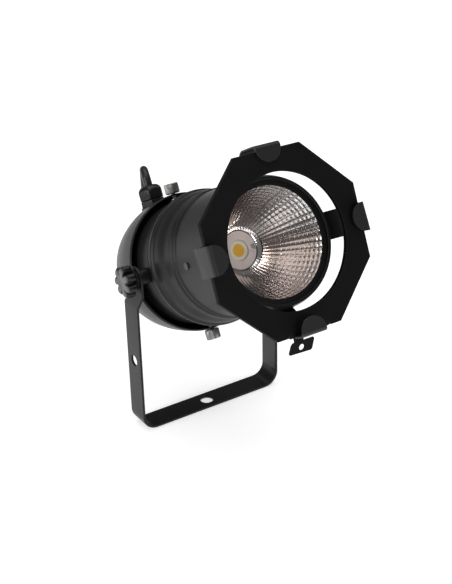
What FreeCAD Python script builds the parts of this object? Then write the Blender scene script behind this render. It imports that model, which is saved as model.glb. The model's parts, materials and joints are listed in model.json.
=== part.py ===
import FreeCAD, Part
import math
import os

import Sketcher

# A short stage spotlight with an LED module, on a flat-bar yoke.
# Row frame: millimetres, +Z up, the beam leans towards -Y, X is the tilt axis.
# Origin: the centre of the yoke's base hole, on the underside of the bar.
# Lamp frame, used by every piece of the head: X right, Y up, Z forward along the beam, origin on the
# tilt axis. on_head() gives such a piece its Placement in the row frame.

doc = FreeCAD.newDocument("Spotlight")
sheet = doc.addObject("Spreadsheet::Sheet", "Sizes")
sheet_rows = 0


def size(alias, value, note):
    """One driving dimension: its name, its value and what it is."""
    global sheet_rows
    sheet_rows += 1
    sheet.set("A%d" % sheet_rows, alias)
    sheet.set("B%d" % sheet_rows, str(value))
    sheet.set("C%d" % sheet_rows, note)
    sheet.setAlias("B%d" % sheet_rows, alias)


size("pivot_height", 132, "tilt axis above the underside of the yoke bar")
size("rest_tilt", 27.4, "degrees nose up at rest")
size("bar_width", 20, "yoke flat bar")
size("bar_thick", 2, "yoke flat bar")
size("yoke_half", 66, "outer half width of the yoke's lower arms")
size("yoke_bend", 12.5, "outer bend radius of the yoke")
size("joggle", 5, "how far the arm tops step inwards")
size("joggle_low", 111, "height where the step starts")
size("joggle_high", 120, "height where the step ends")
size("base_hole", 5.25, "radius of the hole for the clamp bolt")
size("arm_hole", 4.5, "radius of the accessory hole in each arm")
size("arm_hole_height", 61.7, "height of the accessory hole")
size("bolt", 3, "pivot bolt radius, M6")
size("fit", 0.08, "radial running clearance")
size("sheet_metal", 1.2, "steel sheet")
size("barrel_rear", 49.8, "outer radius of the barrel at the tilt axis")
size("barrel_bulge", 52.6, "outer radius of the bulge")
size("barrel_front", 49, "outer radius of the front zone")
size("lip_radius", 47.1, "outer radius of the turned-in front lip")
size("lip_inner", 44.5, "inner radius of the lip")
size("lip_front", 113, "front face of the lip along the beam")
size("cap_rim", 56, "outer radius of the rear cap's rim")
size("cap_front", -13, "front edge of the rear cap")
size("cap_back", -70, "back face of the rear cap")
size("cap_wall", 1.5, "wall of the rear cap")
size("screw_place", -17, "thumbscrews along the beam axis")
size("gland_place", -55, "cable gland along the beam axis")
size("gland_seat", 52.4, "height of the gland boss above the beam axis")
size("gland_thread", 8, "M16 thread radius")
size("gland_hex", 19, "across flats of the gland's hexagons")
size("cord", 3.5, "cord radius")
size("frame_half", 65, "half width of the filter frame across flats")
size("frame_corner", 27.4, "half length of the frame's level and upright sides")
size("frame_hole", 49, "radius of the frame's window")
size("frame_depth", 3.8, "depth of the frame's folded walls")
size("frame_gap", 34.6, "width of the unfolded middle of the bottom side")
size("frame_place", 129.3, "front face of the frame along the beam")
size("frame_drop", -1.9, "how far the frame hangs below the beam axis in its clips")
size("frame_lean", 3.87, "degrees that the frame leans forward at its top")
size("clip_width", 21, "filter clip width")
size("clip_front", 134.6, "back of the clips' front tongues along the beam")
size("reflector_mouth", 41.5, "reflector inner radius at the mouth")
size("reflector_throat", 15.4, "reflector inner radius at the throat")
size("reflector_front", 109.5, "front of the reflector's flange")
size("reflector_back", 60.8, "back of the reflector")
size("led_face", 57.5, "front face of the heat sink, where the LED board sits")
size("emitter", 4.9, "radius of the LED's yellow area")
size("knob_radius", 12.8, "star knob, to the tips")
size("knob_length", 11, "star knob")
doc.recompute()


def value(alias):
    return float(sheet.get(alias))


HEIGHT = value("pivot_height")
TILT = math.radians(value("rest_tilt"))
SHEET = value("sheet_metal")
FIT = value("fit")
CORD = value("cord")
parts = []


def keep(label, obj):
    """Registers a finished sub-part under the name of its node."""
    obj.Label = label
    parts.append(obj)
    return obj


def head_place():
    """The lamp frame in the row frame."""
    turn = FreeCAD.Rotation(FreeCAD.Vector(1, 0, 0), 90 - value("rest_tilt"))
    return FreeCAD.Placement(FreeCAD.Vector(0, 0, HEIGHT), turn)


def on_head(obj, within=None):
    """Puts a piece made in the lamp frame, or in a frame within it, at its place in the row frame."""
    if within is None:
        obj.Placement = head_place()
        obj.setExpression("Placement.Base.z", "Sizes.pivot_height")
        obj.setExpression("Placement.Rotation.Angle", "90 deg - Sizes.rest_tilt * 1 deg")
    else:
        obj.Placement = head_place().multiply(within)
    return obj


def spun(degrees):
    """A turn about the beam axis."""
    return FreeCAD.Placement(FreeCAD.Vector(), FreeCAD.Rotation(FreeCAD.Vector(0, 0, 1), degrees))


def to_row(x, up, forward):
    """A point of the lamp frame in the row frame."""
    return FreeCAD.Vector(
        x,
        -forward * math.cos(TILT) + up * math.sin(TILT),
        forward * math.sin(TILT) + up * math.cos(TILT) + HEIGHT,
    )


# ---------------------------------------------------------------- sketch helpers


def plane_of(body, role):
    return [f for f in body.Origin.OriginFeatures if f.Role == role][0]


def outline(body, role, loops, circles=(), offset=None):
    """A sketch of closed polygons and circles. Every number is a plain one or an expression."""
    sketch = body.newObject("Sketcher::SketchObject", body.Name + "Sketch")
    sketch.AttachmentSupport = (plane_of(body, role), [""])
    sketch.MapMode = "FlatFace"
    if offset is not None:
        sketch.AttachmentOffset = offset
    for loop in loops:
        points = [
            FreeCAD.Vector(number(sketch, x), number(sketch, y), 0) for x, y in loop
        ]
        first = sketch.GeometryCount
        for i, point in enumerate(points):
            sketch.addGeometry(Part.LineSegment(point, points[(i + 1) % len(points)]))
        for i in range(len(points)):
            after = first + (i + 1) % len(points)
            sketch.addConstraint(Sketcher.Constraint("Coincident", first + i, 2, after, 1))
        for i, (x, y) in enumerate(loop):
            pin(sketch, "DistanceX", first + i, 1, x)
            pin(sketch, "DistanceY", first + i, 1, y)
    for x, y, radius in circles:
        centre = FreeCAD.Vector(number(sketch, x), number(sketch, y), 0)
        circle = Part.Circle(centre, FreeCAD.Vector(0, 0, 1), number(sketch, radius))
        index = sketch.addGeometry(circle)
        pin(sketch, "DistanceX", index, 3, x)
        pin(sketch, "DistanceY", index, 3, y)
        place = sketch.addConstraint(Sketcher.Constraint("Radius", index, circle.Radius))
        bind(sketch, place, radius)
    return sketch


def number(obj, text):
    return float(obj.evalExpression(str(text)))


def pin(sketch, kind, geometry, end, text):
    """Holds one coordinate of a sketch point at an expression of the sheet."""
    start = sketch.addConstraint(
        Sketcher.Constraint(kind, -1, 1, geometry, end, number(sketch, text))
    )
    bind(sketch, start, text)


def bind(sketch, place, text):
    if "Sizes" in str(text):
        sketch.setExpression("Constraints[%d]" % place, text)


def turned_shell(label, loops):
    """A body turned about its own Z axis from closed outlines of (radius, z) points."""
    body = doc.addObject("PartDesign::Body", label)
    sketch = outline(body, "XZ_Plane", loops)
    turn = body.newObject("PartDesign::Revolution", label + "Turn")
    turn.Profile = sketch
    turn.ReferenceAxis = (sketch, ["V_Axis"])
    turn.Angle = 360
    body.Tip = turn
    return body


def turned(label, loops):
    """A turned body that is a sub-part as it is."""
    return keep(label, turned_shell(label, loops))


def pad(body, sketch, length, backwards=False, both_ways=False):
    feature = body.newObject("PartDesign::Pad", body.Name + "Pad")
    feature.Profile = sketch
    feature.Length = number(body, length)
    if "Sizes" in str(length):
        feature.setExpression("Length", length)
    feature.Reversed = backwards
    feature.Midplane = both_ways
    body.Tip = feature
    return feature


def pocket(body, sketch, length, backwards=False, both_ways=False):
    """Cuts a sketch out of a body, and stops if it cut nothing."""
    doc.recompute()
    before = body.Shape.Volume
    feature = body.newObject("PartDesign::Pocket", body.Name + "Pocket")
    feature.Profile = sketch
    feature.Length = number(body, length)
    if "Sizes" in str(length):
        feature.setExpression("Length", length)
    feature.Reversed = backwards
    feature.Midplane = both_ways
    body.Tip = feature
    doc.recompute()
    if body.Shape.Volume > before - 0.01:
        raise RuntimeError("a pocket of %s cut nothing" % body.Label)
    return feature


# ---------------------------------------------------------------- primitive helpers

TURN_TO = {
    "Z": FreeCAD.Rotation(),
    "X": FreeCAD.Rotation(FreeCAD.Vector(0, 1, 0), 90),
    "Y": FreeCAD.Rotation(FreeCAD.Vector(1, 0, 0), -90),
    "-X": FreeCAD.Rotation(FreeCAD.Vector(0, 1, 0), -90),
    "-Y": FreeCAD.Rotation(FreeCAD.Vector(1, 0, 0), 90),
}


def rod(radius, length, at=(0, 0, 0), along="Z"):
    """A cylinder that starts at a point and runs along an axis."""
    made = doc.addObject("Part::Cylinder", "Rod")
    for name, text in (("Radius", radius), ("Height", length)):
        setattr(made, name, number(sheet, text))
        if "Sizes" in str(text):
            made.setExpression(name, text)
    return placed(made, at, along)


def placed(made, at, along="Z"):
    made.Placement = FreeCAD.Placement(
        FreeCAD.Vector(*(number(sheet, text) for text in at)), TURN_TO[along]
    )
    for letter, text in zip("xyz", at):
        if "Sizes" in str(text):
            made.setExpression("Placement.Base." + letter, text)
    return made


def block(width, depth, height, at=(0, 0, 0)):
    """A box whose low corner is at a point."""
    made = doc.addObject("Part::Box", "Block")
    for name, text in (("Length", width), ("Width", depth), ("Height", height)):
        setattr(made, name, number(sheet, text))
        if "Sizes" in str(text):
            made.setExpression(name, text)
    return placed(made, at)


def hexagon(flats, length, at=(0, 0, 0), along="Z"):
    """A hexagonal prism, by its distance across flats."""
    base = doc.addObject("Part::RegularPolygon", "Hexagon")
    base.Polygon = 6
    base.Circumradius = number(sheet, "(%s) / sqrt(3)" % flats)
    base.setExpression("Circumradius", "(%s) / sqrt(3) * 1 mm" % flats)
    prism = doc.addObject("Part::Extrusion", "Prism")
    prism.Base = base
    prism.Dir = FreeCAD.Vector(0, 0, 1)
    prism.LengthFwd = number(sheet, length)
    prism.Solid = True
    return placed(prism, at, along)


def joined(*pieces):
    made = doc.addObject("Part::MultiFuse", "Joined")
    made.Shapes = list(pieces)
    made.Refine = True
    return made


def cut(base, *tools):
    made = doc.addObject("Part::Cut", "Cut")
    made.Base = base
    made.Tool = tools[0] if len(tools) == 1 else joined(*tools)
    return made


def group(*pieces):
    """Separate solids of identical fasteners in one node."""
    made = doc.addObject("Part::Compound", "Group")
    made.Links = list(pieces)
    return made


def shaped(label, shape):
    """A node whose shape part.py makes itself from the sheet's numbers."""
    made = doc.addObject("Part::Feature", label)
    made.Shape = shape
    return keep(label, made)


# ---------------------------------------------------------------- yoke


def yoke_bar():
    """The U of flat bar: base, two bends, two arms that step inwards, round tops and their holes."""
    body = doc.addObject("PartDesign::Body", "yoke_bar")
    half, bend, thick = value("yoke_half"), value("yoke_bend"), value("bar_thick")
    step, low, high = value("joggle"), value("joggle_low"), value("joggle_high")
    top = HEIGHT + value("bar_width") / 2
    slant = thick * (math.hypot(step, high - low) - (high - low)) / step
    outer, inner = [], []
    steps = 8
    for i in range(steps + 1):
        turn = math.radians(90 * i / steps)
        rise, run = 1 - math.cos(turn), 1 - math.sin(turn)
        outer.append((half - bend * run, bend * rise))
        inner.append((half - thick - (bend - thick) * run, thick + (bend - thick) * rise))
    outer += [(half, low), (half - step, high), (half - step, top)]
    inner += [(half - thick, low - slant), (half - thick - step, high - slant)]
    inner.append((half - thick - step, top))
    right = outer + inner[::-1]
    left = [(-x, z) for x, z in reversed(right)]
    sketch = outline(body, "XZ_Plane", [right + left])
    pad(body, sketch, "Sizes.bar_width", both_ways=True)
    doc.recompute()
    corner = "Sizes.bar_width / 2"
    beyond = "(%s + 1)" % corner
    for end in (-1, 1):
        points = []
        for i in range(steps + 1):
            turn = 90 * i / steps
            across = "%d * %s * cos(%g)" % (end, corner, turn)
            up = "Sizes.pivot_height + %s * sin(%g)" % (corner, turn)
            points.append((across, up))
        points.append(("0", "Sizes.pivot_height + %s" % beyond))
        points.append(("%d * %s" % (end, beyond), "Sizes.pivot_height + %s" % beyond))
        points.append(("%d * %s" % (end, beyond), "Sizes.pivot_height"))
        rounding = outline(body, "YZ_Plane", [points])
        pocket(body, rounding, 3 * half, both_ways=True)
    pivot_hole = ("0", "Sizes.pivot_height", "Sizes.bolt + Sizes.fit")
    accessory_hole = ("0", "Sizes.arm_hole_height", "Sizes.arm_hole")
    holes = outline(body, "YZ_Plane", [], [pivot_hole, accessory_hole])
    pocket(body, holes, 3 * half, both_ways=True)
    base = outline(body, "XY_Plane", [], [("0", "0", "Sizes.base_hole")])
    pocket(body, base, 3 * thick, both_ways=True)
    return keep("yoke_bar", body)


def rating_label():
    """A plain blank label on the inner face of the far arm."""
    seat = "Sizes.yoke_half - Sizes.bar_thick - %g" % LABEL_THICK
    edge = "%g - Sizes.bar_width / 2" % LABEL_MARGIN
    width = "Sizes.bar_width - %g" % (2 * LABEL_MARGIN)
    label = block(LABEL_THICK, width, 38, (seat, edge, 14))
    keep("rating_label", label)


LABEL_THICK = 0.2
LABEL_MARGIN = 1.2


def pivot(side, name):
    """Bolt, spacer, washer and star knob of one side. side is -1 or 1 along X."""
    along = "X" if side > 0 else "-X"
    arm = "Sizes.yoke_half - Sizes.joggle"
    head_inside = "sqrt((Sizes.barrel_rear - Sizes.sheet_metal)^2 - 49) - 0.1"

    def at(distance):
        return ("%d * (%s)" % (side, distance), 0, "Sizes.pivot_height")

    gap = "%s - Sizes.bar_thick - Sizes.barrel_rear - 0.05" % arm
    spacer = cut(
        rod(6, gap, at("Sizes.barrel_rear + 0.05"), along),
        rod("Sizes.bolt + Sizes.fit", 30, at("Sizes.barrel_rear - 5"), along),
    )
    keep("pivot_spacer_" + name, spacer)
    shank_end = value("yoke_half") - value("joggle") + 7
    bolt = joined(
        rod(7, 3.2, at("%s - 3.2" % head_inside), along),
        rod("Sizes.bolt", "%g - (%s)" % (shank_end, head_inside), at(head_inside), along),
    )
    keep("pivot_bolt_" + name, bolt)
    washer = cut(
        rod(7, 1, at(arm), along),
        rod("Sizes.bolt + Sizes.fit", 6, at("%s - 2" % arm), along),
    )
    keep("knob_washer_" + name, washer)
    start = "%s + 1.05" % arm
    lobe_radius = 3.1
    reach = value("knob_radius") - lobe_radius
    lobes = [rod(8.4, "Sizes.knob_length - 1", at(start), along)]
    for i in range(KNOB_LOBES):
        turn = math.radians(360 * (i + 0.25) / KNOB_LOBES)
        lobe = rod(lobe_radius, "Sizes.knob_length - 3", at("%s + 2" % start), along)
        lobe.Placement.Base.y = reach * math.cos(turn)
        lobe.Placement.Base.z = HEIGHT + reach * math.sin(turn)
        lobes.append(lobe)
    bore = rod("Sizes.bolt + Sizes.fit", 8, at("%s - 1" % start), along)
    keep("star_knob_" + name, cut(joined(*lobes), bore))
    disc = rod(8.8, 1, at("%s + Sizes.knob_length - 1" % start), along)
    keep("knob_disc_" + name, disc)


KNOB_LOBES = 7


# ---------------------------------------------------------------- barrel and rear cap


def barrel():
    """The spun barrel: a straight rear, a bulge, a waist, a double bead, the front zone and its lip."""
    front = "Sizes.barrel_front"
    bulge = "Sizes.barrel_bulge"
    outer = [
        ("Sizes.barrel_rear", "-24"),
        ("Sizes.barrel_rear", "6"),
        (bulge + " - 0.6", "10"),
        (bulge, "14"),
        (bulge + " + 0.6", "17.7"),
        (bulge, "21"),
        (bulge + " - 1.2", "27"),
        (bulge + " - 3.2", "34"),
        (front, "39.5"),
        (front, "42"),
        (front + " + 0.7", "43.5"),
        (front, "45"),
        (front, "48.5"),
        (front + " + 0.7", "50"),
        (front, "51.5"),
        (front, "Sizes.lip_front - 8"),
        (front + " - 0.8", "Sizes.lip_front - 4"),
        ("Sizes.lip_radius", "Sizes.lip_front - 1"),
        ("Sizes.lip_radius - 0.4", "Sizes.lip_front"),
        ("Sizes.lip_inner", "Sizes.lip_front"),
    ]
    inner = [
        ("Sizes.lip_inner", "Sizes.lip_front - Sizes.sheet_metal"),
        ("Sizes.lip_radius - Sizes.sheet_metal", "Sizes.lip_front - 1 - Sizes.sheet_metal"),
        (front + " - 0.8 - Sizes.sheet_metal", "Sizes.lip_front - 4.4"),
        (front + " - Sizes.sheet_metal", "Sizes.lip_front - 8.2"),
        (front + " - Sizes.sheet_metal", "39.9"),
        (bulge + " - 3.2 - Sizes.sheet_metal", "34.4"),
        (bulge + " - 1.2 - Sizes.sheet_metal", "27.4"),
        (bulge + " - Sizes.sheet_metal", "21"),
        (bulge + " - Sizes.sheet_metal", "14"),
        (bulge + " - 0.6 - Sizes.sheet_metal", "10.4"),
        ("Sizes.barrel_rear - Sizes.sheet_metal", "6.4"),
        ("Sizes.barrel_rear - Sizes.sheet_metal", "-24"),
    ]
    body = turned_shell("barrel_shell", [outer + inner])
    tools = [rod("Sizes.bolt + Sizes.fit", 120, (-60, 0, 0), "X")]
    for turn in SIDE_SCREW_TURNS:
        tools.append(radial_rod(1.6, 40, 30, SIDE_SCREW_PLACE, turn))
    for turn, _, middle in CLIPS.values():
        rivet = rod(RIVET + 0.05, 30, (middle, 35, RIVET_PLACE), "Y")
        rivet.Placement = spun(turn).multiply(rivet.Placement)
        tools.append(rivet)
    keep("barrel", cut(body, *tools))
    on_head(parts[-1])


def radial_rod(radius, length, start, along_beam, turn):
    """A cylinder that points out of the beam axis, from a distance, at an angle about the beam."""
    made = rod(radius, length)
    out = FreeCAD.Placement(FreeCAD.Vector(start, 0, along_beam), TURN_TO["X"])
    made.Placement = spun(turn).multiply(out)
    return made


SIDE_SCREW_TURNS = (60, 180, 300)
SIDE_SCREW_PLACE = 66
RIVET = 1.55
RIVET_PLACE = 91


def rear_cap():
    """The wider drum that closes the back, with the gland's boss, the vent slots and the screw holes."""
    wall = "Sizes.cap_wall"
    outer = [
        ("Sizes.cap_rim - 1", "Sizes.cap_front"),
        ("Sizes.cap_rim", "Sizes.cap_front - 1"),
        ("Sizes.cap_rim - 1", "-30"),
        ("Sizes.cap_rim - 2.6", "-40"),
        ("Sizes.cap_rim - 4.8", "-49"),
        ("Sizes.cap_rim - 7.6", "-58"),
        ("Sizes.cap_rim - 11", "-64"),
        ("Sizes.cap_rim - 15.5", "-68"),
        ("Sizes.cap_rim - 21", "Sizes.cap_back"),
        ("0", "Sizes.cap_back"),
    ]
    inner = [
        ("0", "Sizes.cap_back + " + wall),
        ("Sizes.cap_rim - 21.4", "Sizes.cap_back + " + wall),
        ("Sizes.cap_rim - 16.5", "-66.7"),
        ("Sizes.cap_rim - 12.2", "-63"),
        ("Sizes.cap_rim - 9", "-57.3"),
        ("Sizes.cap_rim - 6.3", "-48.7"),
        ("Sizes.cap_rim - 4.1", "-39.8"),
        ("Sizes.cap_rim - 2.5", "-30"),
        ("Sizes.cap_rim - 1.5", "Sizes.cap_front - 1"),
        ("Sizes.cap_rim - 1.5", "Sizes.cap_front"),
    ]
    body = turned_shell("cap_shell", [outer + inner])
    boss = rod(11, "Sizes.gland_seat - %g" % BOSS_LOW, (0, BOSS_LOW, "Sizes.gland_place"), "Y")
    shell = joined(body, boss)
    tools = [rod("Sizes.gland_thread + 0.1", 40, (0, 30, "Sizes.gland_place"), "Y")]
    tools.append(rod("2 + Sizes.fit", 20, (0, 45, "Sizes.screw_place"), "Y"))
    tools.append(rod("2 + Sizes.fit", 20, (0, -45, "Sizes.screw_place"), "-Y"))
    for turn in VENT_TURNS:
        slot = block(12, 13, 2.6, (44, -6.5, -57))
        slot.Placement = spun(turn).multiply(slot.Placement)
        tools.append(slot)
    tools.append(radial_rod(1.6, 20, 38, EARTH_PLACE, EARTH_TURN))
    keep("rear_cap", cut(shell, *tools))
    on_head(parts[-1])


VENT_TURNS = (35, 60, 120, 145, 215, 240, 270, 300, 325)
EARTH_TURN = 205
EARTH_PLACE = -42
BOSS_LOW = 40.7


def earth_screw():
    """The earth screw low on the near side of the cap."""
    seat = value("cap_rim") - 2.4
    head = radial_rod(3, 2, seat, EARTH_PLACE, EARTH_TURN)
    shank = radial_rod(1.5, 9, seat - 8.5, EARTH_PLACE, EARTH_TURN)
    keep("earth_screw", joined(head, shank))
    on_head(parts[-1])


def thumbscrews():
    """Two knurled screws that clamp the cap's rim on the barrel, with their nuts inside the rim."""
    nuts = []
    for name, side, along in (("top", 1, "Y"), ("bottom", -1, "-Y")):
        rim = "Sizes.cap_rim + 0.4"
        tip = "Sizes.barrel_rear + 0.15"
        shank_at = (0, "%d * (%s)" % (side, tip), "Sizes.screw_place")
        shank = rod(2, "%s - (%s)" % (rim, tip), shank_at, along)
        head = rod(6, 8.2, (0, "%d * (%s)" % (side, rim), "Sizes.screw_place"), along)
        keep("thumbscrew_" + name, joined(shank, head))
        on_head(parts[-1])
        low = "Sizes.barrel_rear + 0.4"
        nut = cut(
            rod(3.6, 2, (0, "%d * (%s)" % (side, low), "Sizes.screw_place"), along),
            rod("2 + Sizes.fit", 6, (0, "%d * (%s - 2)" % (side, low), "Sizes.screw_place"), along),
        )
        nuts.append(nut)
    keep("rim_nuts", group(*nuts))
    on_head(parts[-1])


# ---------------------------------------------------------------- cable gland and cord


def gland():
    """Gland body with its thread, rubber seal, domed nut and the locknut inside the cap."""
    seat = "Sizes.gland_seat"
    place = "Sizes.gland_place"
    collar = hexagon("Sizes.gland_hex", 5, (0, seat, place), "Y")
    thread = rod("Sizes.gland_thread", 16.4, (0, seat + " - 16.4", place), "Y")
    spigot = rod("Sizes.gland_thread - 0.8", 6, (0, seat + " + 5", place), "Y")
    body = cut(joined(collar, thread, spigot), rod(5, 40, (0, seat + " - 18", place), "Y"))
    keep("gland_body", body)
    on_head(body)
    seal = cut(
        rod(4.9, 8.7, (0, seat + " + 2.5", place), "Y"),
        rod("Sizes.cord + 0.02", 20, (0, seat, place), "Y"),
    )
    keep("gland_seal", seal)
    on_head(seal)
    nut = hexagon("Sizes.gland_hex", 8.6, (0, seat + " + 5.4", place), "Y")
    dome = rod("Sizes.gland_hex / 2 - 0.3", 2, (0, seat + " + 14", place), "Y")
    crown = rod("Sizes.gland_hex / 2 - 2.6", 1.4, (0, seat + " + 16", place), "Y")
    nut = cut(
        joined(nut, dome, crown),
        rod("Sizes.gland_thread - 0.7", 6.4, (0, seat + " + 5", place), "Y"),
        rod("Sizes.cord + 0.3", 30, (0, seat, place), "Y"),
    )
    keep("gland_nut", nut)
    on_head(nut)
    locknut = cut(
        hexagon(20, 3.4, (0, "%g" % (BOSS_LOW - 3.5), place), "Y"),
        rod("Sizes.gland_thread + 0.05", 12, (0, BOSS_LOW - 8, place), "Y"),
    )
    keep("gland_locknut", locknut)
    on_head(locknut)
    tail = group(rod("Sizes.cord", GLAND_TOP - 36, (0, 36, place), "Y"))
    keep("cord_tail", tail)
    on_head(tail)


GLAND_TOP = value("gland_seat") + 17.4


def bent_path(points):
    """Straight runs joined by tangent arcs, each as large as its two runs allow, and the arcs' radii."""
    edges, radii = [], []
    start = points[0]
    for before, here, after in zip(points, points[1:], points[2:]):
        back, ahead = (before - here), (after - here)
        shorter = min(back.Length, ahead.Length)
        turn = math.pi - back.getAngle(ahead)
        reach = 0.45 * shorter
        radius = reach / math.tan(turn / 2)
        radii.append(radius)
        back.normalize()
        ahead.normalize()
        first, last = here + back * reach, here + ahead * reach
        centre_way = (back + ahead).normalize()
        centre = here + centre_way * (radius / math.cos(turn / 2))
        middle = centre - centre_way * radius
        edges.append(Part.LineSegment(start, first).toShape())
        edges.append(Part.Arc(first, middle, last).toShape())
        start = last
    edges.append(Part.LineSegment(start, points[-1]).toShape())
    return Part.Wire(edges), radii


def tube(points, radius):
    """A round tube along a bent path. Its volume is compared with its section times its length."""
    path, radii = bent_path(points)
    way = (points[1] - points[0]).normalize()
    circle = Part.Wire([Part.Circle(points[0], way, radius).toShape()])
    solid = path.makePipeShell([circle], True, False, 1)
    expected = math.pi * radius * radius * path.Length
    if abs(solid.Volume / expected - 1) > 0.02:
        raise RuntimeError("a tube's volume is not its section times its length")
    return solid, path.Length, radii


# The free cord in the row frame: out of the gland, over and down behind the lamp to the coil, and at the
# coil's other end across its top to the plug.
COIL_CENTRE = FreeCAD.Vector(93.4, 164.4, 0)
COIL_MEAN = 38.5
COIL_HALF_WIDTH = 10.5
COIL_HEIGHT = 14
ROUTE = [
    (0, 83.2, 173),
    (0.9, 87.2, 176.4),
    (2.8, 92.4, 177.7),
    (5.2, 97.4, 176.3),
    (7.3, 101.1, 172.6),
    (8.9, 103.7, 165.8),
    (10.1, 105.5, 153.5),
    (11.4, 107.6, 129.6),
    (14.6, 112.6, 85),
    (19.8, 120.8, 46.2),
    (26.8, 131.8, 23.7),
    (36, 146.4, 10.2),
    (43.9, 169.5, 3.6),
    (53.8, 186.9, 3.6),
]
PLUG_LEAD = [
    (-39.6, 22.5, 10.5),
    (-25.9, 35.7, 15),
    (-7.3, 39.7, 17.8),
    (10.6, 33.2, 18.3),
    (22.3, 18.2, 18.6),
    (24.3, -0.7, 19.6),
    (22.2, -12.5, 22),
]


def cord():
    """The free cord: a tube down to the coil, the coil, and the end that lies across it to the plug."""
    leaving = to_row(0, GLAND_TOP, value("gland_place"))
    solid, length, radii = tube([leaving] + [FreeCAD.Vector(*point) for point in ROUTE], CORD)
    print("cord tube %.0f mm, bend radii %s" % (length, ["%.0f" % r for r in radii]))
    shaped("cord_tube", solid)
    coil_x, coil_y = COIL_CENTRE.x, COIL_CENTRE.y
    ring = cut(
        rod(COIL_MEAN + COIL_HALF_WIDTH, COIL_HEIGHT, (coil_x, coil_y, 0)),
        rod(COIL_MEAN - COIL_HALF_WIDTH, COIL_HEIGHT + 2, (coil_x, coil_y, -1)),
    )
    keep("cord_coil", ring)
    lead = [COIL_CENTRE + FreeCAD.Vector(*point) for point in PLUG_LEAD]
    solid, length, radii = tube(lead, CORD)
    print("cord end %.0f mm, bend radii %s" % (length, ["%.0f" % r for r in radii]))
    shaped("cord_end", solid)
    plug(lead[-1])


def plug(start):
    """An earthed plug that lies with its flange on the coil: relief, grip, flange and two pins."""
    way = FreeCAD.Vector(-0.174, -0.985, 0) + FreeCAD.Vector(0, 0, 0.31)
    lie = FreeCAD.Placement(start, FreeCAD.Rotation(FreeCAD.Vector(0, 0, 1), way))
    relief, grip, flange = 18, 14, 12
    outline_points = [
        (0, 0),
        (4.4, 0),
        (5.6, relief),
        (11, relief + 2),
        (12.4, relief + grip),
        (18, relief + grip + 1.5),
        (18, relief + grip + flange),
        (0, relief + grip + flange),
    ]
    body = turned("plug_body", [outline_points])
    body.Placement = lie
    pins = []
    for across in (-9.5, 9.5):
        pin_rod = rod(2.4, 19, (across, 0, relief + grip + flange))
        pin_rod.Placement = lie.multiply(pin_rod.Placement)
        pins.append(pin_rod)
    keep("plug_pins", group(*pins))


# ---------------------------------------------------------------- filter frame and its clips


def filter_frame():
    """The octagonal pan, with walls folded back except in the middle of its bottom, and its back leaf."""
    body = doc.addObject("PartDesign::Body", "filter_frame")
    half, corner = "Sizes.frame_half", "Sizes.frame_corner"
    outer = octagon(half, corner)
    wall = 1
    diagonal = wall * (math.sqrt(2) - 1)
    inner = octagon("%s - %g" % (half, wall), "%s - %g" % (corner, diagonal))
    face = outline(body, "XY_Plane", [outer], [("0", "0", "Sizes.frame_hole")])
    pad(body, face, "Sizes.frame_depth", backwards=True)
    back = FreeCAD.Placement(FreeCAD.Vector(0, 0, -value("frame_depth")), FreeCAD.Rotation())
    hollow = outline(body, "XY_Plane", [inner], offset=back)
    pocket(body, hollow, "Sizes.frame_depth - 1", backwards=True)
    gap = "Sizes.frame_gap / 2"
    low, high = "-(%s)" % gap, gap
    near, far = "-(%s - 3)" % half, "-(%s + 3)" % half
    opened = outline(body, "XY_Plane", [[(low, near), (low, far), (high, far), (high, near)]], offset=back)
    pocket(body, opened, "Sizes.frame_depth - 1", backwards=True)
    notches = []
    deep, out = "-(%s - 1.6)" % half, "-(%s + 1)" % half
    for end in (-1, 1):
        left, right = "%d * %s - 1.1" % (end, gap), "%d * %s + 1.1" % (end, gap)
        notches.append([(left, deep), (left, out), (right, out), (right, deep)])
    relief = outline(body, "XY_Plane", notches)
    pocket(body, relief, 3, both_ways=True)
    keep("filter_frame", body)
    room = 0.15
    leaf_body = doc.addObject("PartDesign::Body", "leaf_sheet")
    slack = wall + room
    leaf_diagonal = slack * (math.sqrt(2) - 1)
    outer_leaf = octagon("%s - %g" % (half, slack), "%s - %g" % (corner, leaf_diagonal))
    window = ("0", "0", "Sizes.frame_hole")
    leaf_face = outline(leaf_body, "XY_Plane", [outer_leaf], [window], offset=back)
    pad(leaf_body, leaf_face, 1)
    leaf = joined(leaf_body, safety_tab())
    keep("frame_back_leaf", leaf)
    lean = FreeCAD.Placement(
        FreeCAD.Vector(0, value("frame_drop"), value("frame_place")),
        FreeCAD.Rotation(FreeCAD.Vector(1, 0, 0), value("frame_lean")),
    )
    on_head(body, lean)
    on_head(leaf, lean)


def octagon(half, corner):
    """Eight corners: which side across, which side up, and whether the point is on an upright side."""
    signs = [(-1, 1, 0), (1, 1, 0), (1, 1, 1), (1, -1, 1)]
    signs += [(1, -1, 0), (-1, -1, 0), (-1, -1, 1), (-1, 1, 1)]
    points = []
    for x, y, upright in signs:
        if upright:
            points.append(("%d * (%s)" % (x, half), "%d * (%s)" % (y, corner)))
        else:
            points.append(("%d * (%s)" % (x, corner), "%d * (%s)" % (y, half)))
    return points


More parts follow.
